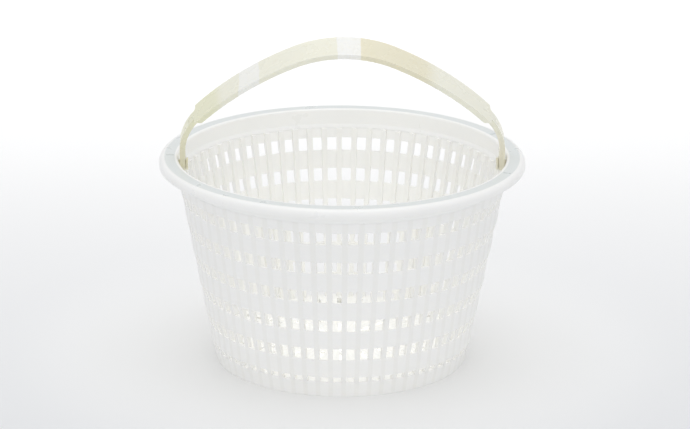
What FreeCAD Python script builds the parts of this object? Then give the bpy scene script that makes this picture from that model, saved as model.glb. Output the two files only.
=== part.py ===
import FreeCAD
import Part
import math
import os
import Sketcher

# Round slotted basket with a turned-down rim and a hinged strap bail.
# Frame: +Z up, origin at the centre of the base, bail hinge along X, millimetres.

os.makedirs("parts", exist_ok=True)
doc = FreeCAD.newDocument("slotted_basket")
sheet = doc.addObject("Spreadsheet::Sheet", "dims")
sheet.Label = "dims"

DRIVING = [
    # overall
    ("total_height", 124.0),
    ("mouth_radius", 96.8),
    ("base_radius", 74.6),
    # rim
    ("rim_width", 11.2),
    ("lip_height", 4.9),
    ("lip_round", 3.5),
    ("lip_thick", 1.6),
    ("flange_thick", 1.8),
    ("mouth_round", 1.0),
    ("neck_height", 9.3),
    ("neck_taper", 2.2),
    ("neck_thick", 1.8),
    ("mark_width", 1.4),
    ("mark_depth", 0.4),
    ("mark_inset", 0.6),
    # slotted wall
    ("slot_count", 64),
    ("slot_angle", 3.6),
    ("slot_height", 7.6),
    ("wall_thick", 1.5),
    ("wall_inset", 1.4),
    ("rib_depth", 1.0),
    ("rib_foot_inset", 0.7),
    ("first_band", 6.0),
    ("first_band_draft", 1.0),
    ("band_draft", 1.5),
    ("foot_height", 5.4),
    ("foot_draft", 1.2),
    ("foot_thick", 1.6),
    # floor
    ("floor_top", 9.9),
    ("floor_thick", 1.8),
    ("floor_slot_width", 2.8),
    ("floor_slot_inset", 4.9),
    ("floor_ring_gap", 4.0),
    ("floor_hub", 9.0),
    # bail
    ("bail_width", 17.2),
    ("bail_thick", 3.2),
    ("bail_lean", 21.5),
    ("crown_radius", 68.0),
    ("crown_angle", 26.0),
    ("flank_angle", 47.4),
    ("leg_radius", 40.0),
    ("leg_straight", 11.2),
    ("leg_width", 8.4),
    ("shoulder_round", 1.5),
    ("foot_gap", 1.2),
    # pins
    ("pin_radius", 2.4),
    ("pin_clearance", 0.05),
    ("pin_head_radius", 3.6),
    ("pin_head_thick", 1.2),
    ("pin_end_radius", 3.2),
    ("pin_end_thick", 1.6),
    ("pin_tip_taper", 0.8),
    ("pin_end_play", 0.3),
    ("pin_headroom", 0.4),
]
MARK_ANGLES = [180, 25, -21]
CUT_OVERRUN = 10
RING_COUNTS = [8, 16, 32, 32]
ROW_NAMES = "abcdef"
RING_NAMES = "klmn"

DERIVED = [
    # rim
    ("rim_radius", "=mouth_radius + rim_width"),
    ("neck_outer", "=mouth_radius + neck_thick"),
    ("neck_foot_z", "=total_height - neck_height"),
    ("wall_top_z", "=neck_foot_z - neck_taper"),
    ("lip_foot_z", "=total_height - lip_height"),
    ("lip_bend_z", "=total_height - lip_round"),
    ("flat_radius", "=rim_radius - lip_round"),
    ("lip_inner", "=rim_radius - lip_thick"),
    ("flange_under_z", "=total_height - flange_thick"),
    ("mouth_edge", "=mouth_radius + mouth_round"),
    ("mouth_edge_z", "=total_height - mouth_round"),
    ("mark_start", "=neck_outer + mark_inset"),
    ("mark_end", "=flat_radius - mark_inset"),
    ("mark_half", "=mark_width / 2"),
    # slotted wall
    ("wall_top_inner", "=mouth_radius - wall_inset"),
    ("wall_top_outer", "=wall_top_inner + wall_thick"),
    ("tier_top", "=wall_top_outer - first_band_draft"),
    ("foot_top_radius", "=base_radius + foot_draft"),
    ("tier_step", "=(tier_top - foot_top_radius - 5 * band_draft) / 6"),
    ("row_pitch", "=(wall_top_z - first_band - slot_height - foot_height) / 5"),
    ("rib_top_radius", "=wall_top_inner - first_band_draft - rib_depth"),
    ("cut_radius", "=rim_radius + %g" % CUT_OVERRUN),
    ("cut_core", "=base_radius / 2"),
    ("cut_top_z", "=wall_top_z + mouth_round"),
    # floor
    ("foot_inner", "=base_radius - foot_thick"),
    ("floor_radius", "=base_radius - rib_foot_inset"),
    ("floor_under_z", "=floor_top - floor_thick"),
    ("floor_slot_half", "=floor_slot_width / 2"),
    ("ring_pitch", "=(floor_radius - floor_slot_inset - floor_hub) / 4"),
    # bail, in its own plane with the hinge at the origin
    ("hinge_z", "=flange_under_z - pin_headroom - pin_end_radius"),
    ("bail_half_width", "=bail_width / 2"),
    ("foot_span", "=mouth_radius - foot_gap"),
    ("foot_inner_span", "=foot_span - bail_thick"),
    ("crown_x", "=crown_radius * sin(crown_angle)"),
    ("shoulder_x", "=foot_span - leg_radius * (1 - sin(flank_angle))"),
    ("flank_radius", "=(shoulder_x - crown_x) / (sin(flank_angle) - sin(crown_angle))"),
    ("shoulder_z", "=leg_straight + leg_radius * cos(flank_angle)"),
    ("crown_z", "=shoulder_z + flank_radius * (cos(crown_angle) - cos(flank_angle))"),
    ("shoulder_in_x", "=shoulder_x - bail_thick * sin(flank_angle)"),
    ("shoulder_in_z", "=shoulder_z - bail_thick * cos(flank_angle)"),
    ("crown_in_x", "=crown_x - bail_thick * sin(crown_angle)"),
    ("crown_in_z", "=crown_z - bail_thick * cos(crown_angle)"),
    ("leg_in_radius", "=leg_radius - bail_thick"),
    ("flank_in_radius", "=flank_radius - bail_thick"),
    ("crown_in_radius", "=crown_radius - bail_thick"),
    ("leg_half", "=leg_width / 2"),
    ("notch_side", "=leg_half + shoulder_round"),
    ("notch_top", "=shoulder_z - shoulder_round"),
    ("notch_low", "=notch_top - shoulder_round"),
    ("notch_wide", "=bail_width"),
    ("eye_radius", "=pin_radius + pin_clearance"),
    ("eye_length", "=2 * foot_span + %g" % CUT_OVERRUN),
    # pins
    ("pin_head_face", "=foot_inner_span - pin_end_play"),
    ("pin_head_end", "=pin_head_face - pin_head_thick"),
    ("pin_end_face", "=neck_outer"),
    ("pin_tip", "=pin_end_face + pin_end_thick"),
    ("pin_tip_radius", "=pin_end_radius - pin_tip_taper"),
    ("none", "=0"),
]


def tier_cells():
    """Heights and radii at the top and foot of every slot row, from the top row down."""
    cells = []
    for row, name in enumerate(ROW_NAMES):
        cells.append(("row_top_" + name, "=wall_top_z - first_band - %d * row_pitch" % row))
        cells.append(("row_foot_" + name, "=row_top_%s - slot_height" % name))
        cells.append(("over_" + name, "=tier_top - %d * (tier_step + band_draft)" % row))
        cells.append(("under_" + name, "=over_%s - tier_step" % name))
        cells.append(("pocket_over_" + name, "=over_%s - wall_thick" % name))
        cells.append(("pocket_under_" + name, "=under_%s - wall_thick" % name))
    return cells


def seam_cells():
    """Outer radius of the lowest slot row at the floor's top, where the wall stands on the base."""
    rise = "(floor_top - row_foot_f) / slot_height"
    return [("seam_radius", "=under_f + (over_f - under_f) * %s" % rise)]


def ring_cells():
    """Inner and outer ends of each ring of floor slots."""
    cells = []
    for ring, name in enumerate(RING_NAMES):
        cells.append(("slot_end_" + name, "=floor_radius - floor_slot_inset - %d * ring_pitch" % ring))
        cells.append(("slot_start_" + name, "=slot_end_%s - ring_pitch + floor_ring_gap" % name))
    return cells


def fill_sheet():
    row = 1
    for alias, value in DRIVING:
        sheet.set("A%d" % row, alias)
        sheet.set("B%d" % row, "%g" % value)
        sheet.setAlias("B%d" % row, alias)
        row += 1
    for alias, formula in DERIVED + tier_cells() + seam_cells() + ring_cells():
        sheet.set("A%d" % row, alias)
        sheet.set("B%d" % row, formula)
        sheet.setAlias("B%d" % row, alias)
        row += 1
    doc.recompute()


def size(alias):
    """Value of a cell; a leading minus sign turns it round."""
    if alias.startswith("-"):
        return -float(sheet.get(alias[1:]))
    return float(sheet.get(alias))


def bound(alias):
    """Expression that follows a cell, with the same sign rule as size()."""
    if alias.startswith("-"):
        return "-dims." + alias[1:]
    return "dims." + alias


def new_body(label):
    body = doc.addObject("PartDesign::Body", label)
    body.Label = label
    return body


def origin_part(body, role):
    for feature in body.Origin.OriginFeatures:
        if feature.Role == role:
            return feature
    raise ValueError("no origin feature " + role)


def new_sketch(body, name, role):
    sketch = body.newObject("Sketcher::SketchObject", name)
    sketch.AttachmentSupport = [(origin_part(body, role), "")]
    sketch.MapMode = "FlatFace"
    return sketch


def arc_through(start, end, radius, side):
    """Arc between two points; side +1 puts its centre to the left of the way from start to end."""
    middle = (start + end) * 0.5
    way = end - start
    half = way.Length / 2
    left = FreeCAD.Vector(-way.y, way.x, 0).normalize()
    centre = middle + left * side * math.sqrt(max(radius * radius - half * half, 0))
    first, last = (start, end) if side > 0 else (end, start)
    low = math.atan2(first.y - centre.y, first.x - centre.x)
    high = math.atan2(last.y - centre.y, last.x - centre.x)
    circle = Part.Circle(centre, FreeCAD.Vector(0, 0, 1), radius)
    return Part.ArcOfCircle(circle, low, high)


def bind(sketch, constraint, expression):
    index = sketch.addConstraint(constraint)
    sketch.setExpression("Constraints[%d]" % index, expression)


def draw_loop(sketch, corners, rounds=None):
    """Closed loop through corners given as cell names; rounds maps a side's number to (radius, side)."""
    rounds = rounds or {}
    points = [FreeCAD.Vector(size(x), size(y), 0) for x, y in corners]
    count = len(points)
    sides = []
    for index, start in enumerate(points):
        end = points[(index + 1) % count]
        if index in rounds:
            radius, side = rounds[index]
            geo = sketch.addGeometry(arc_through(start, end, size(radius), side), False)
            ends = (1, 2) if side > 0 else (2, 1)
        else:
            geo = sketch.addGeometry(Part.LineSegment(start, end), False)
            ends = (1, 2)
        sides.append((geo, ends))
    for index, (geo, ends) in enumerate(sides):
        before, before_ends = sides[index - 1]
        sketch.addConstraint(Sketcher.Constraint("Coincident", before, before_ends[1], geo, ends[0]))
    for index, (geo, ends) in enumerate(sides):
        x, y = corners[index]
        spot = points[index]
        bind(sketch, Sketcher.Constraint("DistanceX", -1, 1, geo, ends[0], spot.x), bound(x))
        bind(sketch, Sketcher.Constraint("DistanceY", -1, 1, geo, ends[0], spot.y), bound(y))
        if index in rounds:
            radius = rounds[index][0]
            bind(sketch, Sketcher.Constraint("Radius", geo, size(radius)), bound(radius))


def revolve(body, sketch, name, axis="V_Axis"):
    turned = body.newObject("PartDesign::Revolution", name)
    turned.Profile = sketch
    turned.ReferenceAxis = (sketch, [axis])
    turned.Angle = 360
    sketch.Visibility = False
    return turned


def cut_through_x(body, sketch, name):
    """Pocket to both sides of the body's YZ plane."""
    pocket = body.newObject("PartDesign::Pocket", name)
    pocket.Profile = sketch
    pocket.SideType = "Symmetric"
    pocket.setExpression("Length", "dims.eye_length")
    sketch.Visibility = False
    return pocket


def draw_circle(sketch, radius, height):
    centre = FreeCAD.Vector(0, size(height), 0)
    geo = sketch.addGeometry(Part.Circle(centre, FreeCAD.Vector(0, 0, 1), size(radius)), False)
    bind(sketch, Sketcher.Constraint("DistanceX", -1, 1, geo, 3, 0), bound("none"))
    bind(sketch, Sketcher.Constraint("DistanceY", -1, 1, geo, 3, centre.y), bound(height))
    bind(sketch, Sketcher.Constraint("Radius", geo, size(radius)), bound(radius))


def spread_around(body, cut, name, count):
    """Repeat a cut evenly around the body's Z axis."""
    pattern = body.newObject("PartDesign::PolarPattern", name)
    pattern.Originals = [cut]
    pattern.Axis = (origin_part(body, "Z_Axis"), [""])
    pattern.Angle = 360
    pattern.Occurrences = int(count)
    body.Tip = pattern
    return pattern


def make_rim():
    """Mouth neck, flat flange and rounded lip, with short marks in the flange's top and a hole for each pin."""
    body = new_body("rim_flange")
    sketch = new_sketch(body, "rim_profile", "XZ_Plane")
    corners = [
        ("wall_top_inner", "wall_top_z"),
        ("wall_top_outer", "wall_top_z"),
        ("neck_outer", "neck_foot_z"),
        ("neck_outer", "flange_under_z"),
        ("lip_inner", "flange_under_z"),
        ("lip_inner", "lip_foot_z"),
        ("rim_radius", "lip_foot_z"),
        ("rim_radius", "lip_bend_z"),
        ("flat_radius", "total_height"),
        ("mouth_edge", "total_height"),
        ("mouth_radius", "mouth_edge_z"),
        ("mouth_radius", "neck_foot_z"),
    ]
    draw_loop(sketch, corners, {7: ("lip_round", 1), 9: ("mouth_round", 1)})
    revolve(body, sketch, "rim_turned")
    for index, angle in enumerate(MARK_ANGLES):
        mark = new_sketch(body, "mark_%d" % index, "XY_Plane")
        top = FreeCAD.Vector(0, 0, size("total_height"))
        mark.AttachmentOffset = FreeCAD.Placement(top, FreeCAD.Rotation(FreeCAD.Vector(0, 0, 1), angle))
        mark.setExpression("AttachmentOffset.Base.z", "dims.total_height")
        ends = [
            ("mark_start", "-mark_half"),
            ("mark_end", "-mark_half"),
            ("mark_end", "mark_half"),
            ("mark_start", "mark_half"),
        ]
        draw_loop(mark, ends)
        cut = body.newObject("PartDesign::Pocket", "mark_cut_%d" % index)
        cut.Profile = mark
        cut.setExpression("Length", "dims.mark_depth")
        mark.Visibility = False
    holes = new_sketch(body, "pin_hole_circle", "YZ_Plane")
    draw_circle(holes, "pin_radius", "hinge_z")
    return body, cut_through_x(body, holes, "pin_holes")


def make_wall():
    """Stepped wall from the base to the neck; each column of slots is one comb cut between the inner ribs."""
    body = new_body("slotted_wall")
    sketch = new_sketch(body, "wall_profile", "XZ_Plane")
    corners = [("floor_radius", "floor_top"), ("seam_radius", "floor_top"), ("over_f", "row_top_f")]
    for name in reversed(ROW_NAMES[:-1]):
        corners.append(("under_" + name, "row_foot_" + name))
        corners.append(("over_" + name, "row_top_" + name))
    corners.append(("wall_top_outer", "wall_top_z"))
    corners.append(("rib_top_radius", "wall_top_z"))
    draw_loop(sketch, corners)
    revolve(body, sketch, "wall_turned")

    comb = new_sketch(body, "slot_comb", "XZ_Plane")
    half_pitch = FreeCAD.Rotation(FreeCAD.Vector(0, 1, 0), 180 / size("slot_count"))
    comb.AttachmentOffset = FreeCAD.Placement(FreeCAD.Vector(0, 0, 0), half_pitch)
    comb.setExpression("AttachmentOffset.Rotation.Angle", "180 / dims.slot_count")
    teeth = [("cut_core", "floor_top"), ("cut_radius", "floor_top")]
    for name in reversed(ROW_NAMES):
        if name != ROW_NAMES[-1]:
            teeth.append(("pocket_under_" + name, "row_foot_" + name))
            teeth.append(("cut_radius", "row_foot_" + name))
        teeth.append(("cut_radius", "row_top_" + name))
        teeth.append(("pocket_over_" + name, "row_top_" + name))
    teeth.append(("wall_top_inner", "wall_top_z"))
    teeth.append(("wall_top_inner", "cut_top_z"))
    teeth.append(("cut_core", "cut_top_z"))
    draw_loop(comb, teeth)
    groove = body.newObject("PartDesign::Groove", "slot_column")
    groove.Profile = comb
    groove.ReferenceAxis = (comb, ["V_Axis"])
    groove.Midplane = True
    groove.setExpression("Angle", "dims.slot_angle")
    comb.Visibility = False
    columns = spread_around(body, groove, "slot_columns", size("slot_count"))
    columns.setExpression("Occurrences", "dims.slot_count")
    return body, columns


def make_floor():
    """Plain foot ring, with the flat drained floor set up inside it."""
    body = new_body("base_floor")
    sketch = new_sketch(body, "floor_profile", "XZ_Plane")
    corners = [
        ("none", "floor_under_z"),
        ("foot_inner", "floor_under_z"),
        ("foot_inner", "none"),
        ("base_radius", "none"),
        ("under_f", "row_foot_f"),
        ("seam_radius", "floor_top"),
        ("none", "floor_top"),
    ]
    draw_loop(sketch, corners)
    last = revolve(body, sketch, "floor_turned")
    for name, count in zip(RING_NAMES, reversed(RING_COUNTS)):
        slot = new_sketch(body, "floor_slot_" + name, "XY_Plane")
        ends = [
            ("slot_start_" + name, "-floor_slot_half"),
            ("slot_end_" + name, "-floor_slot_half"),
            ("slot_end_" + name, "floor_slot_half"),
            ("slot_start_" + name, "floor_slot_half"),
        ]
        draw_loop(slot, ends)
        cut = body.newObject("PartDesign::Pocket", "floor_cut_" + name)
        cut.Profile = slot
        cut.Reversed = True
        cut.setExpression("Length", "dims.floor_top + 1")
        slot.Visibility = False
        last = spread_around(body, cut, "floor_ring_" + name, count)
    return body, last


def set_on_hinge(body, axis, turn):
    """Put a body drawn about the hinge on it, turned about an axis through its middle."""
    place = FreeCAD.Vector(0, 0, size("hinge_z"))
    body.Placement = FreeCAD.Placement(place, FreeCAD.Rotation(axis, turn))
    body.setExpression("Placement.Base.z", "dims.hinge_z")


def make_bail():
    """Arched strap with narrow legs that end in round eyes on the hinge axis."""
    body = new_body("bail_strap")
    sketch = new_sketch(body, "bail_outline", "XZ_Plane")
    right_outer = [
        ("foot_span", "-leg_half"),
        ("foot_span", "leg_straight"),
        ("shoulder_x", "shoulder_z"),
        ("crown_x", "crown_z"),
    ]
    left_inner = [
        ("-foot_inner_span", "-leg_half"),
        ("-foot_inner_span", "leg_straight"),
        ("-shoulder_in_x", "shoulder_in_z"),
        ("-crown_in_x", "crown_in_z"),
    ]
    left_outer = [("-" + x, y) for x, y in reversed(right_outer)]
    right_inner = [(x[1:], y) for x, y in reversed(left_inner)]
    corners = right_outer + left_outer + left_inner + right_inner
    outer = ["leg_radius", "flank_radius", "crown_radius", "flank_radius", "leg_radius"]
    inner = ["leg_in_radius", "flank_in_radius", "crown_in_radius", "flank_in_radius", "leg_in_radius"]
    rounds = {}
    for step in range(5):
        rounds[1 + step] = (outer[step], 1)
        rounds[9 + step] = (inner[step], -1)
    draw_loop(sketch, corners, rounds)
    pad = body.newObject("PartDesign::Pad", "bail_pad")
    pad.Profile = sketch
    pad.SideType = "Symmetric"
    pad.setExpression("Length", "dims.bail_width")
    sketch.Visibility = False

    notch = new_sketch(body, "leg_notch", "YZ_Plane")
    sides = [
        ("-notch_wide", "-notch_wide"),
        ("notch_wide", "-notch_wide"),
        ("notch_wide", "notch_top"),
        ("notch_side", "notch_top"),
        ("leg_half", "notch_low"),
        ("leg_half", "none"),
        ("none", "-leg_half"),
        ("-leg_half", "none"),
        ("-leg_half", "notch_low"),
        ("-notch_side", "notch_top"),
        ("-notch_wide", "notch_top"),
    ]
    bends = {3: ("shoulder_round", 1), 8: ("shoulder_round", 1)}
    bends[5] = ("leg_half", -1)
    bends[6] = ("leg_half", -1)
    draw_loop(notch, sides, bends)
    cut_through_x(body, notch, "leg_cut")

    eyes = new_sketch(body, "eye_circle", "YZ_Plane")
    draw_circle(eyes, "eye_radius", "none")
    cut = cut_through_x(body, eyes, "eyes")
    set_on_hinge(body, FreeCAD.Vector(1, 0, 0), size("bail_lean"))
    body.setExpression("Placement.Rotation.Angle", "dims.bail_lean")
    return body, cut


def make_pin(label, turn):
    """Headed pin through the bail's eye and the neck, with a snap end under the flange."""
    body = new_body(label)
    sketch = new_sketch(body, label + "_profile", "XZ_Plane")
    corners = [
        ("pin_head_end", "none"),
        ("pin_tip", "none"),
        ("pin_tip", "pin_tip_radius"),
        ("pin_end_face", "pin_end_radius"),
        ("pin_end_face", "pin_radius"),
        ("pin_head_face", "pin_radius"),
        ("pin_head_face", "pin_head_radius"),
        ("pin_head_end", "pin_head_radius"),
    ]
    draw_loop(sketch, corners)
    turned = revolve(body, sketch, label + "_turned", "H_Axis")
    set_on_hinge(body, FreeCAD.Vector(0, 0, 1), turn)
    return body, turned


def export_parts(bodies):
    doc.recompute()
    for item in doc.Objects:
        for state in item.State:
            if state in ("Invalid", "Error"):
                raise RuntimeError("%s is %s" % (item.Label, state))
    for body in bodies:
        if body.Shape.isNull() or not body.Shape.isValid():
            raise RuntimeError(body.Label + " has no valid shape")
        body.Shape.exportStep("parts/%s.step" % body.Label)
        box = body.Shape.BoundBox
        print("%-14s %8.1f mm3  solids %d  x %.1f..%.1f y %.1f..%.1f z %.1f..%.1f" % (
            body.Label, body.Shape.Volume, len(body.Shape.Solids),
            box.XMin, box.XMax, box.YMin, box.YMax, box.ZMin, box.ZMax,
        ))


fill_sheet()
made = [
    make_rim(),
    make_wall(),
    make_floor(),
    make_bail(),
    make_pin("bail_pin_right", 0),
    make_pin("bail_pin_left", 180),
]
for body, tip in made:
    body.Tip = tip
export_parts([body for body, tip in made])
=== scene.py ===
import math

import bpy
from mathutils import Matrix, Vector


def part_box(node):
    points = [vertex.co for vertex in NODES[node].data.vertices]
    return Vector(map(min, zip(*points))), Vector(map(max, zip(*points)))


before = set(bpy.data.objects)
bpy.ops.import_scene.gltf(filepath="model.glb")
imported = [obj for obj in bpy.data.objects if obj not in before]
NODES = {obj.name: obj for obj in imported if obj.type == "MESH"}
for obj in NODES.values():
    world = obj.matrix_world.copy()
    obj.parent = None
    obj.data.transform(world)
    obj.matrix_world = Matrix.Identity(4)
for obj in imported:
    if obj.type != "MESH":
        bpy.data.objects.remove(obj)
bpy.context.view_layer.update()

# The rim's radius is the unit that the camera's place was worked out in.
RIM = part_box("rim_flange")[1].x
RIM_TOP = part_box("rim_flange")[1].z
SLOTS_PER_ROW = 64

WHITE = {"ior": 1.49, "subsurface": 0.2, "scatter": 0.0018}
CREAM = {"ior": 1.5, "subsurface": 0.3, "scatter": 0.0015}
SUBSURFACE_RADIUS = (1.0, 0.97, 0.90)
PALE_MILK, DEEP_MILK, SCUFF = (0.975, 0.973, 0.955), (0.955, 0.953, 0.934), (0.985, 0.985, 0.975)
# Painted shade for the ribs, where the thicker plastic lets less light through.
RIB_PAINTED_SHADE = (0.968, 0.966, 0.958)
# Painted shade on the flange's top, where the thin plastic shows the darker inside through it.
FLANGE_PAINTED_SHADE = (0.765, 0.795, 0.787)
PALE_CREAM, DEEP_CREAM = (0.900, 0.892, 0.78), (0.882, 0.870, 0.748)
GRIME, LEG_BROWN = (0.70, 0.64, 0.45), (0.74, 0.68, 0.52)

# Bands along the strap, as shares of the rim's radius: from, to, soft edge, tint. The first two are tints of
# the aged plastic; the last two are painted highlights, pale reflections of the lamps on the glossy strap.
STRAP_TONES_AND_HIGHLIGHTS = [
    (-0.90, -0.70, 0.06, (0.84, 0.835, 0.63)),
    (0.10, 0.42, 0.10, (0.83, 0.785, 0.60)),
    # Painted highlights: two pale reflections of the lamps on the strap.
    (-0.56, -0.455, 0.006, (0.935, 0.935, 0.90)),
    (-0.035, 0.085, 0.005, (0.95, 0.95, 0.925)),
]

# The paper's front colour is painted shade, and its colour near the foot is painted light that hides the
# basket's contact shadow.
PAPER_FRONT_PAINTED_SHADE, PAPER_BACK, PAPER_PAINTED_LIGHT_AT_FOOT = (0.82, 0.83, 0.845), (0.93, 0.93, 0.93), (0.955, 0.955, 0.95)
FLOOR_HALF = 6.0

FRAME_WIDTH = 690
FOCAL_PIXELS = 3333.6
SENSOR_WIDTH = 36.0


# Places of the colour sockets on a Mix node, whose names repeat for each data type.
COLOUR_A, COLOUR_B, COLOUR_RESULT = 6, 7, 2


def node_tree(material):
    material.use_nodes = True
    tree = material.node_tree
    tree.nodes.clear()
    return tree


def add(tree, kind, **values):
    """A node with its settings and its inputs' constants; names with a capital are inputs."""
    node = tree.nodes.new(kind)
    for name, value in values.items():
        if name[0].isupper():
            node.inputs[name.replace("_", " ")].default_value = value
        else:
            setattr(node, name, value)
    return node


def feed(tree, socket, value):
    """Gives an input a linked socket, a colour or a number."""
    if hasattr(value, "links"):
        tree.links.new(value, socket)
    elif isinstance(value, tuple):
        socket.default_value = (*value, 1.0)
    else:
        socket.default_value = value


def ramp(tree, source, stops):
    """Colour ramp on a source socket; stops are (place, grey or colour)."""
    node = tree.nodes.new("ShaderNodeValToRGB")
    tree.links.new(source, node.inputs["Fac"])
    elements = node.color_ramp.elements
    while len(elements) < len(stops):
        elements.new(0.5)
    for element, (place, colour) in zip(elements, stops):
        element.position = place
        if not isinstance(colour, tuple):
            colour = (colour, colour, colour)
        element.color = (*colour, 1.0)
    return node.outputs["Color"]


def noise(tree, coords, scale, detail=4.0, roughness=0.55, distortion=0.0):
    node = add(
        tree, "ShaderNodeTexNoise",
        Scale=scale, Detail=detail, Roughness=roughness, Distortion=distortion,
    )
    tree.links.new(coords, node.inputs["Vector"])
    return node.outputs["Fac"]


def mix_colour(tree, factor, first, second, blend="MIX"):
    node = tree.nodes.new("ShaderNodeMix")
    node.data_type = "RGBA"
    node.blend_type = blend
    feed(tree, node.inputs["Factor"], factor)
    feed(tree, node.inputs[COLOUR_A], first)
    feed(tree, node.inputs[COLOUR_B], second)
    return node.outputs[COLOUR_RESULT]


def math_node(tree, operation, *values):
    """One Math node; each value is a socket or a number."""
    node = add(tree, "ShaderNodeMath", operation=operation)
    for index, value in enumerate(values):
        feed(tree, node.inputs[index], value)
    return node.outputs[0]


def span(tree, value, low, high):
    """Smooth rise from 0 at low to 1 at high."""
    node = add(
        tree, "ShaderNodeMapRange", interpolation_type="SMOOTHSTEP", From_Min=low, From_Max=high,
    )
    tree.links.new(value, node.inputs["Value"])
    return node.outputs[0]


def band(tree, value, low, high, soft):
    """1 between low and high, falling to 0 over the soft width outside them."""
    rise = span(tree, value, low - soft, low)
    fall = span(tree, value, high, high + soft)
    return math_node(tree, "SUBTRACT", rise, fall)


def axes_of(tree, coords):
    """The X, Y and Z sockets of a vector."""
    node = add(tree, "ShaderNodeSeparateXYZ")
    tree.links.new(coords, node.inputs[0])
    return node.outputs["X"], node.outputs["Y"], node.outputs["Z"]


def length_of(tree, vector):
    node = add(tree, "ShaderNodeVectorMath", operation="LENGTH")
    tree.links.new(vector, node.inputs[0])
    return node.outputs["Value"]


def plastic(name, ior, subsurface, scatter):
    """A Principled plastic; returns the material, its tree, its object coordinates and the shader."""
    material = bpy.data.materials.new(name)
    tree = node_tree(material)
    coords = add(tree, "ShaderNodeTexCoord").outputs["Object"]
    out = add(tree, "ShaderNodeOutputMaterial")
    shader = add(
        tree, "ShaderNodeBsdfPrincipled",
        IOR=ior, Subsurface_Weight=subsurface, Subsurface_Scale=scatter,
    )
    shader.inputs["Subsurface Radius"].default_value = SUBSURFACE_RADIUS
    tree.links.new(shader.outputs[0], out.inputs["Surface"])
    return material, tree, coords, shader


def moulded_finish(tree, coords, shader, smooth, rough, depth):
    """Uneven satin and a very fine moulded grain, with hair scratches in it."""
    patches = noise(tree, coords, scale=70.0, detail=5.0)
    fine = noise(tree, coords, scale=900.0, detail=3.0)
    stretched = add(tree, "ShaderNodeMapping")
    stretched.inputs["Scale"].default_value = (1.0, 1.0, 0.08)
    tree.links.new(coords, stretched.inputs["Vector"])
    streaks = noise(tree, stretched.outputs[0], scale=1500.0, detail=2.0, roughness=0.6)
    hairs = ramp(tree, streaks, [(0.50, 0.0), (0.85, 1.0)])
    satin = ramp(tree, patches, [(0.3, smooth), (0.72, rough)])
    tree.links.new(satin, shader.inputs["Roughness"])
    height = mix_colour(tree, 0.35, fine, hairs)
    bump = add(tree, "ShaderNodeBump", Strength=0.12, Distance=depth)
    tree.links.new(height, bump.inputs["Height"])
    tree.links.new(bump.outputs["Normal"], shader.inputs["Normal"])


def milky_tint(tree, coords):
    """Warm white with slow cloudy changes and a few paler scuffs."""
    drift = noise(tree, coords, scale=26.0, detail=3.0)
    clouds = ramp(tree, drift, [(0.3, DEEP_MILK), (0.7, PALE_MILK)])
    flecks = noise(tree, coords, scale=190.0, detail=8.0, roughness=0.7, distortion=1.2)
    scuffs = ramp(tree, flecks, [(0.62, 0.0), (0.76, 1.0)])
    return mix_colour(tree, scuffs, clouds, SCUFF)


def wall_plastic():
    """Milky skin with painted shade: a slightly darker stripe at each rib, on both faces, where the thicker
    plastic lets less light through.
    """
    material, tree, coords, shader = plastic("white_plastic_wall", **WHITE)
    x, y, _ = axes_of(tree, coords)
    turn = math_node(tree, "ARCTAN2", y, x)
    wave = math_node(tree, "COSINE", math_node(tree, "MULTIPLY", turn, SLOTS_PER_ROW))
    # Painted shade: darker stripes at the ribs.
    rib_shade_mask = span(tree, wave, 0.1, 0.75)
    tint = milky_tint(tree, coords)
    painted_shade_tint = mix_colour(tree, 1.0, tint, RIB_PAINTED_SHADE, "MULTIPLY")
    colour = mix_colour(tree, rib_shade_mask, tint, painted_shade_tint)
    tree.links.new(colour, shader.inputs["Base Color"])
    moulded_finish(tree, coords, shader, smooth=0.36, rough=0.52, depth=0.00025)
    return material


def rim_plastic():
    """The same plastic on the rim, with painted shade on the flange's top: cooler and darker than its lip and
    neck, where the thin flange shows the darker inside through it.
    """
    material, tree, coords, shader = plastic("white_plastic_rim", **WHITE)
    x, y, z = axes_of(tree, coords)
    flat = add(tree, "ShaderNodeCombineXYZ")
    tree.links.new(x, flat.inputs["X"])
    tree.links.new(y, flat.inputs["Y"])
    radius = length_of(tree, flat.outputs[0])
    ring = band(tree, radius, low=RIM * 0.917, high=RIM * 0.966, soft=RIM * 0.008)
    high = span(tree, z, RIM_TOP - 0.0012, RIM_TOP - 0.0004)
    # Painted shade on the top of the thin flange ring.
    flange_shade_mask = math_node(tree, "MULTIPLY", ring, high)
    colour = mix_colour(tree, flange_shade_mask, milky_tint(tree, coords), FLANGE_PAINTED_SHADE)
    tree.links.new(colour, shader.inputs["Base Color"])
    moulded_finish(tree, coords, shader, smooth=0.26, rough=0.40, depth=0.00015)
    return material


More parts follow.
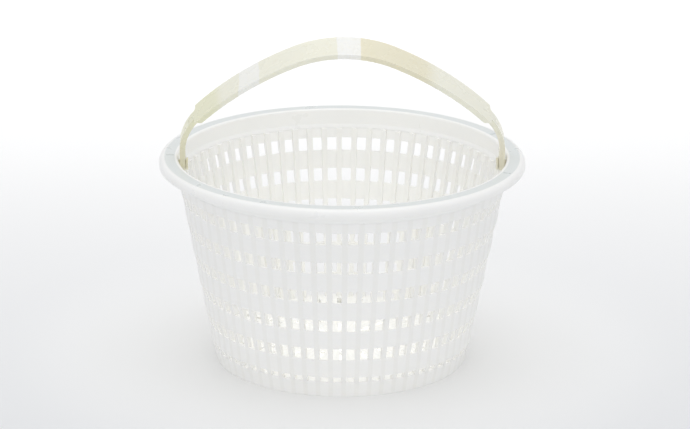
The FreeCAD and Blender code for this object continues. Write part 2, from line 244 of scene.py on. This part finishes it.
def strap_plastic():
    """Aged cream strap: yellowed in places and browner past its crown, with two pale bands that are painted
    highlights.
    """
    material, tree, coords, shader = plastic("cream_plastic_look", **CREAM)
    x, _, z = axes_of(tree, coords)
    wander = math_node(tree, "SUBTRACT", noise(tree, coords, scale=55.0, detail=3.0), 0.5)
    along = math_node(tree, "ADD", x, math_node(tree, "MULTIPLY", wander, RIM * 0.03))
    slow = noise(tree, coords, scale=14.0, detail=1.0)
    colour = ramp(tree, slow, [(0.3, DEEP_CREAM), (0.7, PALE_CREAM)])
    # Each band is a tint of the plastic, except the last two, which are painted highlights.
    for low, high, soft, tone in STRAP_TONES_AND_HIGHLIGHTS:
        where = band(tree, along, RIM * low, RIM * high, RIM * soft)
        colour = mix_colour(tree, math_node(tree, "MULTIPLY", where, 0.85), colour, tone)
    specks = noise(tree, coords, scale=300.0, detail=4.0, roughness=0.6)
    grime = ramp(tree, specks, [(0.58, 0.0), (0.85, 0.3)])
    colour = mix_colour(tree, grime, colour, GRIME)
    depth_down = math_node(tree, "MULTIPLY", z, -1.0)
    leg = span(tree, depth_down, -RIM_TOP - 0.028, -RIM_TOP + 0.002)
    colour = mix_colour(tree, math_node(tree, "MULTIPLY", leg, 0.45), colour, LEG_BROWN)
    tree.links.new(colour, shader.inputs["Base Color"])
    moulded_finish(tree, coords, shader, smooth=0.20, rough=0.36, depth=0.0002)
    return material


def dress(node, material):
    """Gives a carried-over CAD node its finished material."""
    obj = NODES[node]
    for slot in obj.material_slots:
        slot.material = material
    if not obj.material_slots:
        obj.data.materials.append(material)


def floor_paper():
    """Pale studio paper with painted shade that makes it cooler and darker towards the front, and painted
    light round the basket's foot that hides most of its contact shadow.
    """
    material = bpy.data.materials.new("floor_paper")
    tree = node_tree(material)
    coords = add(tree, "ShaderNodeTexCoord").outputs["Object"]
    _, y, _ = axes_of(tree, coords)
    # Painted shade: the paper darkens towards the front.
    front_shade_reach = add(tree, "ShaderNodeMapRange", From_Min=-0.2, From_Max=0.4, To_Min=0.0, To_Max=1.0)
    tree.links.new(y, front_shade_reach.inputs["Value"])
    paper = ramp(tree, front_shade_reach.outputs[0], [(0.0, PAPER_FRONT_PAINTED_SHADE), (1.0, PAPER_BACK)])
    # Painted light: the paper is lighter round the basket's foot, hiding its contact shadow.
    foot_light_falloff = span(tree, length_of(tree, coords), RIM * 0.75, RIM * 2.1)
    tone = mix_colour(tree, foot_light_falloff, PAPER_PAINTED_LIGHT_AT_FOOT, paper)
    out = add(tree, "ShaderNodeOutputMaterial")
    shader = add(tree, "ShaderNodeBsdfPrincipled", Roughness=0.7)
    tree.links.new(tone, shader.inputs["Base Color"])
    tree.links.new(shader.outputs[0], out.inputs["Surface"])
    return material


def make_floor():
    mesh = bpy.data.meshes.new("floor")
    size = FLOOR_HALF
    corners = [(-size, -size, 0), (size, -size, 0), (size, size, 0), (-size, size, 0)]
    mesh.from_pydata(corners, [], [(0, 1, 2, 3)])
    floor = bpy.data.objects.new("floor", mesh)
    bpy.context.collection.objects.link(floor)
    mesh.materials.append(floor_paper())


def area_light(name, place, aim, width, height, power, spread=180):
    lamp = bpy.data.lights.new(name, "AREA")
    lamp.shape = "RECTANGLE"
    lamp.size = width
    lamp.size_y = height
    lamp.energy = power
    lamp.spread = math.radians(spread)
    obj = bpy.data.objects.new(name, lamp)
    bpy.context.collection.objects.link(obj)
    obj.location = place
    obj.rotation_euler = (Vector(aim) - Vector(place)).to_track_quat("-Z", "Y").to_euler()


def make_world():
    world = bpy.data.worlds.new("studio")
    bpy.context.scene.world = world
    world.use_nodes = True
    background = world.node_tree.nodes["Background"]
    background.inputs["Color"].default_value = (0.985, 0.99, 1.0, 1.0)
    background.inputs["Strength"].default_value = 0.72


def make_camera():
    """A long lens at the photograph's angle, in units of the rim's radius."""
    elevation = math.radians(17.98)
    turn = math.radians(-1.21)
    roll = math.radians(0.34)
    distance = 18.307 * RIM
    aim = Vector((0.017 * RIM, 0, 0.805 * RIM))
    place = aim + Vector((0, -distance * math.cos(elevation), distance * math.sin(elevation)))
    forward = (aim - place).normalized()
    right = forward.cross(Vector((0, 0, 1))).normalized()
    up = right.cross(forward)
    rolled_right = right * math.cos(roll) + up * math.sin(roll)
    rolled_up = up * math.cos(roll) - right * math.sin(roll)
    spin = Matrix.Rotation(turn, 3, "Z")
    data = bpy.data.cameras.new("camera")
    data.sensor_width = SENSOR_WIDTH
    data.lens = FOCAL_PIXELS / FRAME_WIDTH * SENSOR_WIDTH
    data.clip_end = 50
    camera = bpy.data.objects.new("camera", data)
    bpy.context.collection.objects.link(camera)
    axes = Matrix((rolled_right, rolled_up, -forward)).transposed()
    matrix = (spin @ axes).to_4x4()
    matrix.translation = spin @ place
    camera.matrix_world = matrix
    bpy.context.scene.camera = camera


dress("rim_flange", rim_plastic())
WALL = wall_plastic()
dress("slotted_wall", WALL)
dress("base_floor", WALL)
STRAP = strap_plastic()
for name in ("bail_strap", "bail_pin_right", "bail_pin_left"):
    dress(name, STRAP)

bpy.context.scene.view_settings.view_transform = "Standard"
bpy.context.scene.cycles.max_bounces = 16
bpy.context.scene.cycles.diffuse_bounces = 10
make_floor()
make_world()
make_camera()
area_light("overhead", (0, -0.05, 1.2), aim=(0, 0, 0), width=0.9, height=0.9, power=3.2)
# Two weak lights inside the basket stand in for the light that its plastic scatters.
area_light("inside", (0, 0, 0.10), aim=(0, 0, 0), width=0.10, height=0.10, power=0.010)
area_light("under", (0, 0, 0.006), aim=(0, 0, 0), width=0.085, height=0.085, power=0.012)
area_light("sweep", (0, 1.15, 0.9), aim=(0, 1.15, 0), width=2.6, height=1.1, power=6.0, spread=100)
area_light("front", (0, -1.3, 0.42), aim=(0, 0, 0.03), width=2.0, height=0.5, power=1.9)
